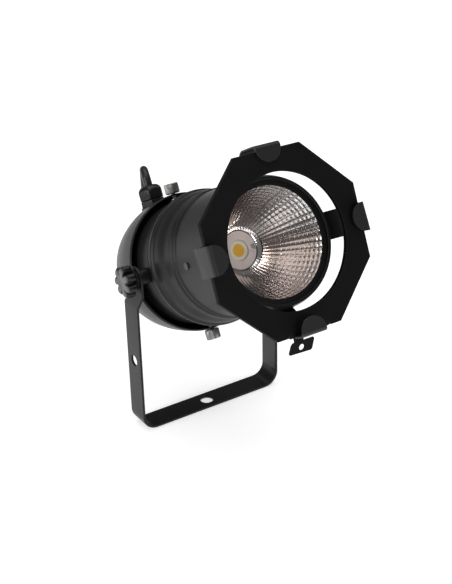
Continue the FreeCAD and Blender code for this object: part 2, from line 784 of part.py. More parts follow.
def strap(points, thick, width, middle=0.0):
    """A bent strap: an (up, forward) centre line thickened to both sides and extruded along X."""
    left, right = [], []
    for i, (up, forward) in enumerate(points):
        before = points[max(i - 1, 0)]
        after = points[min(i + 1, len(points) - 1)]
        a = math.atan2(forward - before[1], up - before[0]) if i else None
        b = math.atan2(after[1] - forward, after[0] - up) if i < len(points) - 1 else None
        a = b if a is None else a
        b = a if b is None else b
        turn = math.atan2(math.sin(b - a), math.cos(b - a))
        way = a + turn / 2 + math.pi / 2
        reach = thick / 2 / math.cos(turn / 2)
        left.append((up + reach * math.cos(way), forward + reach * math.sin(way)))
        right.append((up - reach * math.cos(way), forward - reach * math.sin(way)))
    ring = [FreeCAD.Vector(middle - width / 2, up, forward) for up, forward in left + right[::-1]]
    face = Part.Face(Part.makePolygon(ring + ring[:1]))
    return face.extrude(FreeCAD.Vector(width, 0, 0))


# Each clip: its turn about the beam, how far out its web is, and its shift along the side.
CLIPS = {
    "top": (0, 66.7, 0.0),
    "right": (-90, 66.2, 0.0),
    "bottom": (180, 67.8, 3.0),
    "left": (90, 66.2, 0.0),
}


def clips():
    """Four strap clips: foot on the barrel, slanted leg, web beside the frame, curl and round tongue."""
    thick = 1.2
    width = value("clip_width")
    front = value("clip_front") + thick / 2
    foot = value("barrel_front") + thick / 2 + 0.05
    rivets = []
    for name, (turn, out, middle) in CLIPS.items():
        curl = 2.4
        line = [(foot, 84), (foot, 99), (out - 1.2, 115.2), (out, 118), (out, front - curl)]
        steps = 6
        for i in range(1, steps + 1):
            angle = math.pi / 2 * i / steps
            up = out - curl * (1 - math.cos(angle))
            line.append((up, front - curl + curl * math.sin(angle)))
        tip = out - 12.4
        line.append((tip, front))
        solid = strap(line, thick, width, middle)
        radius = width / 2
        side = middle - radius - 1
        keeper = Part.makeBox(width + 2, 60, 200, FreeCAD.Vector(side, tip + radius, 0))
        keeper = keeper.fuse(Part.makeBox(width + 2, 60, front - 3, FreeCAD.Vector(side, 40, 0)))
        round_end = Part.makeCylinder(radius, 200, FreeCAD.Vector(middle, tip + radius, 0))
        solid = solid.common(keeper.fuse(round_end)).removeSplitter()
        if name == "bottom":
            slot_at = FreeCAD.Vector(NECK_LEFT - 0.8, 62, 118.4)
            solid = solid.cut(Part.makeBox(NECK_WIDTH + 1.6, 8, 6.2, slot_at))
        start = FreeCAD.Vector(middle, 45, RIVET_PLACE)
        bore = Part.makeCylinder(RIVET + 0.05, 10, start, FreeCAD.Vector(0, 1, 0))
        solid = solid.cut(bore)
        rivet = rivet_solid(middle, foot + thick / 2)
        rivet.Placement = spun(turn)
        rivets.append(rivet)
        on_head(shaped("filter_clip_" + name, solid), spun(turn))
    on_head(shaped("clip_rivets", Part.makeCompound(rivets)))


def rivet_solid(middle, seat):
    """A rivet through a clip's foot and the barrel wall, with a head outside and a formed one inside."""
    wall_inside = value("barrel_front") - SHEET
    inside = math.sqrt(wall_inside**2 - (abs(middle) + 3) ** 2) - 0.2
    up = FreeCAD.Vector(0, 1, 0)
    shank = Part.makeCylinder(RIVET, seat + 0.6 - inside, FreeCAD.Vector(middle, inside, RIVET_PLACE), up)
    head = Part.makeCylinder(3, 1.1, FreeCAD.Vector(middle, seat + 0.01, RIVET_PLACE), up)
    formed = Part.makeCylinder(2.6, 1, FreeCAD.Vector(middle, inside - 1, RIVET_PLACE), up)
    return shank.fuse([head, formed]).removeSplitter()


def safety_tab():
    """The back leaf's T-shaped tab, bent back, with its hole, in the frame's own axes."""
    middle_of_leaf = -value("frame_depth") + 0.5
    line = [(58, middle_of_leaf), (68.5, middle_of_leaf), (82, middle_of_leaf - 4.9)]
    strip = strap(line, 1, 60, 0)
    neck = Part.makeBox(NECK_WIDTH, 20, 40, FreeCAD.Vector(NECK_LEFT, 57, -30))
    ring = [FreeCAD.Vector(x, y, -30) for x, y in TAB_CORNERS]
    plate = Part.Face(Part.makePolygon(ring + ring[:1])).extrude(FreeCAD.Vector(0, 0, 40))
    across = FreeCAD.Vector(0, 4.9, 13.5).normalize()
    centre = FreeCAD.Vector(6.8, 74.4, middle_of_leaf - 4.9 * 5.9 / 13.5)
    hole = Part.makeCylinder(2.3, 20, centre - across * 10, across)
    solid = strip.common(neck.fuse(plate)).cut(hole).removeSplitter()
    made = doc.addObject("Part::Feature", "TabShape")
    made.Shape = solid
    made.Placement = spun(180)
    return made


TAB_CORNERS = [
    (-4.4, 71),
    (-3.4, 69.6),
    (14.2, 69.6),
    (15.8, 71),
    (17.8, 76.6),
    (16.8, 78),
    (-1, 78.8),
    (-2.4, 77.6),
]
NECK_LEFT = 5
NECK_WIDTH = 8


# ---------------------------------------------------------------- LED, reflector and heat sink


def optics():
    """Reflector bowl, retaining ring, LED board, emitter, its white ring, holder and holder screws."""
    mouth, throat = value("reflector_mouth"), value("reflector_throat")
    front, back = value("reflector_front"), value("reflector_back")
    steps = 8
    inner = []
    for i in range(steps + 1):
        share = i / steps
        inner.append((throat + (mouth - throat) * share**0.62, back + (front - 1 - back) * share))
    outer = [(r + 1, z) for r, z in inner]
    bowl = inner + [(mouth, front), (mouth + 3.4, front), (mouth + 3.4, front - 1)] + outer[::-1]
    on_head(turned("reflector", [bowl]))
    ring_back = front + 0.1
    ring_front = ring_back + 1.4
    ring = [(mouth - 1, ring_back), (mouth + 3.8, ring_back)]
    ring += [(mouth + 3.8, ring_front), (mouth - 1, ring_front)]
    on_head(turned("retaining_ring", [ring]))
    face = "Sizes.led_face"
    board = group(block(20, 20, 1.2, (-10, -10, face)))
    keep("led_board", board)
    on_head(board)
    emitter = group(rod("Sizes.emitter", 0.5, (0, 0, face + " + 1.2")))
    keep("led_emitter", emitter)
    on_head(emitter)
    dam = cut(rod(7.8, 0.7, (0, 0, face + " + 1.2")), rod("Sizes.emitter + 0.02", 4, (0, 0, face)))
    keep("led_dam", dam)
    on_head(dam)
    low = 1.25
    holder = cut(rod(14.6, 1.9, (0, 0, "%s + %g" % (face, low))), rod(7.9, 9, (0, 0, face)))
    slots = [rod(1.6, 9, (x, 0, face)) for x in (-12.4, 12.4)]
    holder = cut(holder, *slots)
    keep("led_holder", holder)
    on_head(holder)
    screws = [
        joined(
            rod(1.5, 8, (x, 0, face + " - 5")),
            rod(2.2, 0.9, (x, 0, face + " + %g" % (low + 1.9))),
        )
        for x in (-12.4, 12.4)
    ]
    keep("holder_screws", group(*screws))
    on_head(parts[-1])


def heat_sink():
    """Finned aluminium sink: a disc, a core, radial fins behind it and three lugs for the side screws."""
    disc = rod(47.5, 6, (0, 0, "Sizes.led_face - 6"))
    core = rod(13, 36, (0, 0, "Sizes.led_face - 41"))
    pieces = [disc, core]
    fins = 20
    for i in range(fins):
        fin = block(34, 1.6, 36, (11, -0.8, "Sizes.led_face - 41"))
        fin.Placement = spun(360 * i / fins).multiply(fin.Placement)
        pieces.append(fin)
    tools = [rod(2.6, 60, (0, WIRE_HOLE, 5))]
    for x in (-12.4, 12.4):
        tools.append(rod(1.55, 8, (x, 0, "Sizes.led_face - 6")))
    screws = []
    for turn in SIDE_SCREW_TURNS:
        lug = block(4, 9, 14, (43.3, -4.5, "Sizes.led_face - 1"))
        lug.Placement = spun(turn).multiply(lug.Placement)
        pieces.append(lug)
        tools.append(radial_rod(1.55, 12, 40, SIDE_SCREW_PLACE, turn))
        shank = radial_rod(1.5, 6.5, 42.8, SIDE_SCREW_PLACE, turn)
        head = radial_rod(2.6, 1, 49.1, SIDE_SCREW_PLACE, turn)
        screws.append(joined(shank, head))
    sink = cut(joined(*pieces), *tools)
    keep("heat_sink", sink)
    on_head(sink)
    keep("side_screws", group(*screws))
    on_head(parts[-1])


# ---------------------------------------------------------------- driver and wiring


def driver():
    """LED driver in the rear: its case, board, the strip that carries it, screws and the terminal block."""
    case = cut(
        block(60, 40, 38, (-30, -28, -58)),
        block(56, 36, 34, (-28, -26, -56)),
        rod(3.2, 10, (-14, 6, -50), "Y"),
        rod(3.2, 10, (18, 6, -50), "Y"),
        *[rod(1.55, 6, (x, y, -24)) for x, y in BRACKET_HOLES],
    )
    keep("driver_case", case)
    on_head(case)
    board = group(block(54, 1.6, 32, (-27, -22, -55)))
    keep("driver_board", board)
    on_head(board)
    bracket = joined(
        block(18, 94.8, 1.5, (-9, -47.4, -19.8)),
        block(18, 1.5, 12, (-9, 45.9, -19.8)),
        block(18, 1.5, 12, (-9, -47.4, -19.8)),
    )
    drill = [rod(1.65, 6, (x, y, -22)) for x, y in BRACKET_HOLES]
    bracket = cut(bracket, *drill)
    keep("driver_bracket", bracket)
    on_head(bracket)
    screws = [
        joined(rod(1.5, 3.9, (x, y, -21.9)), rod(2.8, 1.6, (x, y, -18.2))) for x, y in BRACKET_HOLES
    ]
    keep("bracket_screws", group(*screws))
    on_head(parts[-1])
    block_body = cut(
        block(22, 10, 14, (-26, 16, -50)),
        *[rod(1.7, 8, (x, 20, -43), "Y") for x in (-22, -15, -8)],
    )
    keep("terminal_block", block_body)
    on_head(block_body)


BRACKET_HOLES = ((0, 4), (0, -20))
WIRE_HOLE = 12.8


def lamp_tube(label, routes, radius):
    """Thin wires as tubes along bent paths in the lamp frame."""
    solids = [tube([FreeCAD.Vector(*point) for point in route], radius)[0] for route in routes]
    shaped(label, Part.makeCompound(solids))
    on_head(parts[-1])


def wires():
    """Three supply wires from the cord's end to the terminal block, and two wires to the LED."""
    supply = []
    for i, x in enumerate((-22, -15, -8)):
        start_x = 2.0 * (i - 1)
        supply.append([(start_x, 35.9, -55), (start_x, 31.5, -55), (x, 29.5, -43), (x, 24.5, -43)])
    lamp_tube("supply_wires", supply, 0.7)
    led = []
    for x in (-1.1, 1.1):
        out_of_case = [(18 + x, 10, -50), (18 + x, 20, -46), (18 + x, 24, -30), (17 + x, 24, -12)]
        into_sink = [(9 + x, 18, 2), (x, WIRE_HOLE, 12), (x, WIRE_HOLE, 30)]
        led.append(out_of_case + into_sink)
    lamp_tube("led_wires", led, 0.8)


yoke_bar()
rating_label()
pivot(-1, "left")
pivot(1, "right")
barrel()
rear_cap()
earth_screw()
thumbscrews()
gland()
cord()
filter_frame()
clips()
optics()
heat_sink()
driver()
wires()
doc.recompute()

for obj in doc.Objects:
    if "Invalid" in obj.State or "Error" in obj.State:
        raise RuntimeError("%s failed: %s" % (obj.Label, obj.State))
for obj in parts:
    if obj.Shape.isNull() or not obj.Shape.isValid():
        raise RuntimeError("%s has no valid shape" % obj.Label)

os.makedirs("parts", exist_ok=True)
for obj in parts:
    obj.Shape.exportStep("parts/%s.step" % obj.Label)
    print("%-24s %2d solids %9.1f mm3" % (obj.Label, len(obj.Shape.Solids), obj.Shape.Volume))
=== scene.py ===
import json
import math

import bmesh
import bpy
from mathutils import Matrix, Vector


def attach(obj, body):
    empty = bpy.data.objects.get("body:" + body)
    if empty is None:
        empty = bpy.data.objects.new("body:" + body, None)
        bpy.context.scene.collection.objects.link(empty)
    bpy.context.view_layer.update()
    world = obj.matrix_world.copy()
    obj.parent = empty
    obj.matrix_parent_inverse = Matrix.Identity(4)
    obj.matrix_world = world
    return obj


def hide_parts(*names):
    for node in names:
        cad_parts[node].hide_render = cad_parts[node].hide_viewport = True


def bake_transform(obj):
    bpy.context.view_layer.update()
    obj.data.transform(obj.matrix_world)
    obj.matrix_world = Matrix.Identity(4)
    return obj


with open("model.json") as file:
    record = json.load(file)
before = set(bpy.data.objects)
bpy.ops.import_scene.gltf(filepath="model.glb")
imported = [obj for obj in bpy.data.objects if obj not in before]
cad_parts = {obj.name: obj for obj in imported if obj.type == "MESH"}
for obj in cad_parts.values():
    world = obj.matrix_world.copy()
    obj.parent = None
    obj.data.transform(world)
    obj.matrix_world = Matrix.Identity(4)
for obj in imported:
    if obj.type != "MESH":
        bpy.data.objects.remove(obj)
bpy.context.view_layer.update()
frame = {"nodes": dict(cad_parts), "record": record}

# The scene is in metres, +Z up. The sizes below are in millimetres. The head's pieces use the lamp
# frame: X right, Y up and Z forward along the beam, with its origin on the tilt axis.
MM = 0.001
TILT = math.radians(27.4)
PIVOT_HEIGHT = 132
SHEET = 1.2
BARREL_REAR = 49.8
BARREL_BULGE = 52.6
BARREL_FRONT = 49
LIP_FRONT = 113
CAP_RIM = 56
CAP_FRONT = -13
CAP_BACK = -70
CAP_WALL = 1.5
SCREW_PLACE = -17
GLAND_PLACE = -55
GLAND_SEAT = 52.4
GLAND_TOP = GLAND_SEAT + 17.4
CORD = 3.5

UP = Vector((0, math.sin(TILT), math.cos(TILT)))
BEAM = Vector((0, -math.cos(TILT), math.sin(TILT)))


def axes(x, y, z, origin):
    """A placement from three axes and an origin, which turns millimetres into metres."""
    turn = Matrix((x, y, z)).transposed().to_4x4()
    return Matrix.Translation(Vector(origin) * MM) @ turn @ Matrix.Scale(MM, 4)


LAMP = axes(Vector((1, 0, 0)), UP, BEAM, (0, 0, PIVOT_HEIGHT))


def about_beam(degrees):
    return Matrix.Rotation(math.radians(degrees), 4, "Z")


# ---------------------------------------------------------------- camera, floor and light

CAMERA_LENS = 71.83
CAMERA_PLACE = Vector((-0.4359, -0.7104, 0.5233))
CAMERA_RIGHT = Vector((0.83479, -0.55018, -0.02062))
CAMERA_DOWN = Vector((-0.26349, -0.36636, -0.89239))
CAMERA_LOOK = Vector((0.48342, 0.75039, -0.4508))
FLOOR_HALF = 6
FLOOR_DROP = 0.0004


def camera():
    """The camera at the photograph's viewing angle."""
    data = bpy.data.cameras.new("camera")
    data.sensor_width = 36
    data.lens = CAMERA_LENS
    made = bpy.data.objects.new("camera", data)
    turn = Matrix((CAMERA_RIGHT, -CAMERA_DOWN, -CAMERA_LOOK)).transposed().to_4x4()
    made.matrix_world = Matrix.Translation(CAMERA_PLACE) @ turn
    bpy.context.collection.objects.link(made)
    bpy.context.scene.camera = made


def soft_light(name, place, target, size, power):
    """A rectangular area light that faces a point."""
    data = bpy.data.lights.new(name, "AREA")
    data.shape = "RECTANGLE"
    data.size, data.size_y = size
    data.energy = power
    made = bpy.data.objects.new(name, data)
    made.location = place
    way = Vector(target) - Vector(place)
    made.rotation_euler = way.to_track_quat("-Z", "Y").to_euler()
    bpy.context.collection.objects.link(made)


def stage():
    """A pale floor, a dim white surround and three soft lights."""
    mesh = bpy.data.meshes.new("floor")
    half = FLOOR_HALF
    corners = [(-half, -half, 0), (half, -half, 0), (half, half, 0), (-half, half, 0)]
    mesh.from_pydata(corners, [], [(0, 1, 2, 3)])
    floor = bpy.data.objects.new("floor", mesh)
    floor.location.z = -FLOOR_DROP
    bpy.context.collection.objects.link(floor)
    pale = bpy.data.materials.new("pale_floor")
    pale.use_nodes = True
    surface = pale.node_tree.nodes["Principled BSDF"]
    surface.inputs["Base Color"].default_value = (0.85, 0.85, 0.85, 1)
    surface.inputs["Roughness"].default_value = 0.9
    surface.inputs["Emission Color"].default_value = (1, 1, 1, 1)
    surface.inputs["Emission Strength"].default_value = 0.55
    floor.data.materials.append(pale)
    world = bpy.data.worlds.new("studio")
    world.use_nodes = True
    world.node_tree.nodes["Background"].inputs["Color"].default_value = (1, 1, 1, 1)
    world.node_tree.nodes["Background"].inputs["Strength"].default_value = 0.16
    bpy.context.scene.world = world
    bpy.context.scene.view_settings.view_transform = "Standard"
    soft_light("key", (-1.5, 0, 0.7), (0, 0, 0.12), (0.7, 0.9), 11)
    soft_light("overhead", (0.2, 0.2, 2.4), (0, 0, 0.1), (3, 3), 42)
    soft_light("front", (-0.1, -1.5, 0.5), (0, -0.1, 0.16), (0.35, 0.35), 5)


camera()
stage()

# ---------------------------------------------------------------- mesh helpers


def piece(name, mesh, body, replaces=()):
    """An object for a mesh, on a body of the frame, in place of some CAD nodes."""
    made = bpy.data.objects.new(name, mesh)
    bpy.context.collection.objects.link(made)
    if body:
        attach(made, body)
    if replaces:
        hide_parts(*replaces)
    return made


def mesh_of(name, points, faces, place, sharp=35):
    """A mesh with outward normals. Edges sharper than an angle stay sharp."""
    mesh = bpy.data.meshes.new(name)
    made = bmesh.new()
    verts = [made.verts.new(place @ Vector(point)) for point in points]
    for face in faces:
        made.faces.new([verts[i] for i in face])
    bmesh.ops.recalc_face_normals(made, faces=made.faces)
    made.to_mesh(mesh)
    made.free()
    mesh.polygons.foreach_set("use_smooth", [True] * len(mesh.polygons))
    mesh.set_sharp_from_angle(angle=math.radians(sharp))
    return mesh


def rounded(profile, default=0.4, steps=4):
    """A closed profile of (radius, z) or (radius, z, fillet) points with its corners rounded off."""
    spots = [(Vector(point[:2]), point[2] if len(point) > 2 else default) for point in profile]
    made = []
    count = len(spots)
    for i, (here, fillet) in enumerate(spots):
        before, after = spots[i - 1][0], spots[(i + 1) % count][0]
        back, ahead = before - here, after - here
        reach = min(fillet, 0.45 * back.length, 0.45 * ahead.length)
        if reach < 0.01 or here.x < 0.001:
            made.append(here)
            continue
        first, last = here + back.normalized() * reach, here + ahead.normalized() * reach
        for step in range(steps + 1):
            t = step / steps
            made.append(first * (1 - t) ** 2 + here * 2 * t * (1 - t) + last * t * t)
    return made


def lathe(name, profile, place, segments=144, closed=True, sharp=35):
    """A mesh turned about Z from a profile. Points on the axis become one vertex each."""
    points, rings = [], []
    for spot in profile:
        if spot[0] < 0.001:
            rings.append([len(points)] * segments)
            points.append((0, 0, spot[1]))
            continue
        rings.append(list(range(len(points), len(points) + segments)))
        for i in range(segments):
            angle = 2 * math.pi * i / segments
            points.append((spot[0] * math.cos(angle), spot[0] * math.sin(angle), spot[1]))
    faces = []
    pairs = list(zip(rings, rings[1:]))
    if closed:
        pairs.append((rings[-1], rings[0]))
    for low, high in pairs:
        for i in range(segments):
            j = (i + 1) % segments
            face = []
            for index in (low[i], low[j], high[j], high[i]):
                if index not in face:
                    face.append(index)
            if len(face) > 2:
                faces.append(face)
    return mesh_of(name, points, faces, place, sharp)


def loft(name, sections, place, segments, sharp=35):
    """A mesh through sections (height, radius of angle), closed with a fan at both ends."""
    points, faces = [], []
    for height, radius in sections:
        for i in range(segments):
            angle = 2 * math.pi * i / segments
            reach = radius(angle)
            points.append((reach * math.cos(angle), reach * math.sin(angle), height))
    for row in range(len(sections) - 1):
        for i in range(segments):
            j = (i + 1) % segments
            low, high = row * segments, (row + 1) * segments
            faces.append((low + i, low + j, high + j, high + i))
    for row, height in ((0, sections[0][0]), (len(sections) - 1, sections[-1][0])):
        centre = len(points)
        points.append((0, 0, height))
        for i in range(segments):
            j = (i + 1) % segments
            faces.append((row * segments + i, row * segments + j, centre))
    return mesh_of(name, points, faces, place, sharp)


def joined(name, meshes):
    """One mesh from several."""
    made = bmesh.new()
    for mesh in meshes:
        made.from_mesh(mesh)
    whole = bpy.data.meshes.new(name)
    made.to_mesh(whole)
    made.free()
    whole.polygons.foreach_set("use_smooth", [True] * len(whole.polygons))
    whole.set_sharp_from_angle(angle=math.radians(35))
    for mesh in meshes:
        bpy.data.meshes.remove(mesh)
    return whole


def drilled(mesh, cutters):
    """Cuts the cutter meshes out of a mesh with an exact boolean."""
    base = bpy.data.objects.new("base", mesh)
    tool = bpy.data.objects.new("tool", joined("tool", cutters))
    for made in (base, tool):
        bpy.context.collection.objects.link(made)
    change = base.modifiers.new("cut", "BOOLEAN")
    change.operation = "DIFFERENCE"
    change.solver = "EXACT"
    change.object = tool
    graph = bpy.context.evaluated_depsgraph_get()
    whole = bpy.data.meshes.new_from_object(base.evaluated_get(graph))
    for made in (base, tool):
        bpy.data.objects.remove(made)
    whole.polygons.foreach_set("use_smooth", [True] * len(whole.polygons))
    whole.set_sharp_from_angle(angle=math.radians(35))
    return whole


def box_mesh(name, low, high, place):
    """A box between two corners."""
    points = [(x, y, z) for x in (low[0], high[0]) for y in (low[1], high[1]) for z in (low[2], high[2])]
    faces = [(0, 1, 3, 2), (4, 6, 7, 5), (0, 4, 5, 1), (2, 3, 7, 6), (0, 2, 6, 4), (1, 5, 7, 3)]
    return mesh_of(name, points, faces, place)


# ---------------------------------------------------------------- the lead

LEAD_ROUTE = [
    (0, 83.2, 173),
    (0.9, 87.2, 176.4),
    (2.8, 92.4, 177.7),
    (5.2, 97.4, 176.3),
    (7.3, 101.1, 172.6),
    (8.9, 103.7, 165.8),
    (10.1, 105.5, 153.5),
    (11.4, 107.6, 129.6),
    (14.6, 112.6, 85),
    (19.8, 120.8, 46.2),
    (26.8, 131.8, 23.7),
    (36, 146.4, 10.2),
    (43.9, 169.5, 3.6),
]
COIL_CENTRE = Vector((93.4, 164.4, 0))
COIL_START = math.radians(150.4)
COIL_OUTER = 45.5
COIL_TURNS = 4
POINTS_A_TURN = 24
RISE_POINTS = 4
PLUG_LEAD = [
    (-25.9, 35.7, 15.6),
    (-7.3, 39.7, 18),
    (10.6, 33.2, 18.5),
    (22.3, 18.2, 18.6),
    (24.3, -0.7, 19.6),
    (22.2, -12.5, 22),
]


def lead_points():
    """Control points in millimetres: gland, down to the floor, two turns in, two turns out, plug."""
    exit_point = LAMP @ Vector((0, GLAND_TOP, GLAND_PLACE)) / MM
    points = [exit_point] + [Vector(point) for point in LEAD_ROUTE]
    layer_end = COIL_TURNS // 2 * POINTS_A_TURN
    for i in range(COIL_TURNS * POINTS_A_TURN + 1):
        angle = COIL_START - 2 * math.pi * i / POINTS_A_TURN
        inward = i if i <= layer_end else 2 * layer_end - i
        radius = COIL_OUTER - 2 * CORD * inward / POINTS_A_TURN
        lift = min(max(i - layer_end, 0) / RISE_POINTS, 1)
        height = CORD + 0.1 + 2 * CORD * lift
        points.append(COIL_CENTRE + Vector((radius * math.cos(angle), radius * math.sin(angle), height)))
    return points + [COIL_CENTRE + Vector(point) for point in PLUG_LEAD]


def lead():
    """The whole lead as one tube along its NURBS line, from the gland on the head through the coil to the
    plug.
    """
    points = lead_points()
    curve = bpy.data.curves.new("lead_line", "CURVE")
    curve.dimensions = "3D"
    spline = curve.splines.new("NURBS")
    spline.points.add(len(points) - 1)
    for spot, point in zip(spline.points, points):
        spot.co = (*(point * MM), 1)
    spline.order_u = 3
    spline.use_endpoint_u = True
    spline.resolution_u = 5
    line = bpy.data.objects.new("lead_line", curve)
    bpy.context.collection.objects.link(line)

    def evaluated():
        graph = bpy.context.evaluated_depsgraph_get()
        graph.update()
        return bpy.data.meshes.new_from_object(line.evaluated_get(graph))

    path = [vertex.co.copy() for vertex in evaluated().vertices]
    curve.bevel_depth = CORD * MM
    curve.bevel_resolution = 5
    curve.use_fill_caps = True
    mesh = evaluated()
    bpy.data.objects.remove(line)
    mesh.polygons.foreach_set("use_smooth", [True] * len(mesh.polygons))
    tube = piece("mains_lead", mesh, None, ("cord_tube", "cord_coil", "cord_end"))
    length = sum((b - a).length for a, b in zip(path, path[1:]))
    print("lead %.3f m" % length)
    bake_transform(tube)
    return tube, path, length


lead_tube, lead_path, lead_length = lead()

# ---------------------------------------------------------------- barrel, cap and gland


def barrel():
    """The spun barrel: rear zone, bulge with its bead, double bead, front zone and turned-in lip."""
    front, bulge, rear = BARREL_FRONT, BARREL_BULGE, BARREL_REAR
    outer = [
        (rear, -24, 0.4),
        (rear, 6, 4),
        (bulge - 0.9, 10, 3),
        (bulge - 0.5, 13.5, 1),
        (bulge + 1.1, 15.6, 1.2),
        (bulge + 1.1, 18.2, 1.2),
        (bulge - 0.7, 20.2, 1),
        (bulge - 1.2, 27, 4),
        (bulge - 3.2, 34, 4),
        (front, 39.5, 2),
        (front - 0.3, 41.6, 0.6),
        (front + 1.2, 43.6, 1),
        (front - 0.4, 45.6, 0.8),
        (front - 0.4, 47.6, 0.8),
        (front + 1.2, 49.8, 1),
        (front - 0.2, 51.8, 0.8),
        (front, LIP_FRONT - 8, 4),
        (front - 0.8, LIP_FRONT - 4, 2),
        (47.1, LIP_FRONT - 1, 1),
        (46.7, LIP_FRONT, 0.5),
        (44.5, LIP_FRONT, 0.3),
    ]
    inner = [
        (44.5, LIP_FRONT - SHEET, 0.3),
        (47.1 - SHEET, LIP_FRONT - 1 - SHEET, 1),
        (front - 0.8 - SHEET, LIP_FRONT - 4.4, 2),
        (front - SHEET, LIP_FRONT - 8.2, 4),
        (front - SHEET, 39.9, 2),
        (bulge - 3.2 - SHEET, 34.4, 4),
        (bulge - 1.2 - SHEET, 27.4, 4),
        (bulge - SHEET, 21, 3),
        (bulge - SHEET, 14, 3),
        (bulge - 0.6 - SHEET, 10.4, 3),
        (rear - SHEET, 6.4, 4),
        (rear - SHEET, -24, 0.4),
    ]
    mesh = lathe("barrel_shell", rounded(outer + inner), LAMP, 192)
    return piece("spun_barrel", mesh, "head", ("barrel",))


VENT_TURNS = (35, 60, 120, 145, 215, 240, 270, 300, 325)
BOSS_LOW = 40.7


def cap():
    """The drum-shaped rear cap with its vents and the boss that the gland stands on."""
    rim = CAP_RIM
    outer = [
        (rim - 1.5, CAP_FRONT, 0.3),
        (rim - 0.6, CAP_FRONT, 0.5),
        (rim, CAP_FRONT - 1.2, 0.8),
        (rim - 1, -30, 6),
        (rim - 2.6, -40, 5),
        (rim - 4.8, -49, 4),
        (rim - 7.6, -58, 3),
        (rim - 11, -64, 2.6),
        (rim - 15.5, -68, 2.4),
        (rim - 21, CAP_BACK, 3),
        (0, CAP_BACK),
    ]
    inner = [
        (0, CAP_BACK + CAP_WALL),
        (rim - 21.4, CAP_BACK + CAP_WALL, 3),
        (rim - 16.5, -66.7, 2.4),
        (rim - 12.2, -63, 2.6),
        (rim - 9, -57.3, 3),
        (rim - 6.3, -48.7, 4),
        (rim - 4.1, -39.8, 5),
        (rim - 2.5, -30, 6),
        (rim - 1.5, CAP_FRONT - 1, 0.3),
    ]
    shell = lathe("cap_shell", rounded(outer + inner), LAMP, 192)
    cutters = []
    for turn in VENT_TURNS:
        cutters.append(box_mesh("vent", (44, -6.5, -57), (56, 6.5, -54.4), LAMP @ about_beam(turn)))
    shell = drilled(shell, cutters)
    boss = rounded([(11, 0, 0.1), (11, 11.7, 0.5), (8.1, 11.7, 0.1), (8.1, 0, 0.1)])
    out = LAMP @ Matrix.Translation((0, BOSS_LOW, GLAND_PLACE)) @ Matrix.Rotation(-math.pi / 2, 4, "X")
    boss = lathe("cap_boss", boss, out, 72)
    whole = joined("cap_mesh", [shell, boss])
    return piece("drum_cap", whole, "head", ("rear_cap",))


def hexagon(flats, share, scale):
    """Radius of a hexagon with rounded corners that turns into a circle as share goes to 1."""

    def radius(angle):
        part = (angle + math.pi / 6) % (math.pi / 3) - math.pi / 6
        flat = flats / 2 / math.cos(math.pi / 6 - abs(part))
        corner = min(flat, flats / 2 * 1.115)
        return scale * (corner * (1 - share) + flats / 2 * share)

    return radius


def gland_nut():
    """Domed hexagon nut with a rounded mouth round the lead."""
    flats = 19
    # Height, share of the circle in the outline, and scale.
    rows = [
        (5.4, 0, 0.955),
        (5.8, 0, 0.99),
        (6.2, 0, 1),
        (12.6, 0, 1),
        (13.4, 0.2, 0.995),
        (14.2, 0.6, 0.975),
        (15, 0.9, 0.93),
        (15.8, 1, 0.855),
        (16.5, 1, 0.76),
        (17, 1, 0.66),
        (17.3, 1, 0.55),
        (17.4, 1, 0.47),
        (17.2, 1, 0.42),
        (16.4, 1, 0.4),
    ]
    sections = [(height, hexagon(flats, share, scale)) for height, share, scale in rows]
    out = LAMP @ Matrix.Translation((0, GLAND_SEAT, GLAND_PLACE)) @ Matrix.Rotation(-math.pi / 2, 4, "X")
    mesh = loft("gland_nut_mesh", sections, out, 96, sharp=50)
    return piece("domed_gland_nut", mesh, "head", ("gland_nut",))


def thumbscrew(name, side, body, node):
    """A knurled head with turned ends on a plain shank."""
    ridges = 48

    def knurl(depth, base):
        return lambda angle: base + depth * abs((angle * ridges / (2 * math.pi)) % 1 * 2 - 1)

    rim = CAP_RIM + 0.4
    # Height, depth of the knurl and its inner radius.
    rows = [(0, 0, 5.2), (0.35, 0, 5.6), (0.7, 0.24, 5.65), (7.2, 0.24, 5.65)]
    rows += [(7.6, 0, 5.75), (8.1, 0, 5.4), (8.2, 0, 4.6)]
    sections = [(height, knurl(depth, base)) for height, depth, base in rows]
    turn = Matrix.Rotation(-side * math.pi / 2, 4, "X")
    out = LAMP @ Matrix.Translation((0, side * rim, SCREW_PLACE)) @ turn
    head = loft(name + "_head", sections, out, ridges * 4, sharp=30)
    low = BARREL_REAR + 0.15 - rim
    shank = rounded([(0, low), (2, low, 0.4), (2, 0.2, 0), (0, 0.2)])
    shank = lathe(name + "_shank", shank, out, 32)
    return piece(name, joined(name + "_mesh", [head, shank]), body, (node,))


ARM_OUTSIDE = 61
WASHER = 1.05


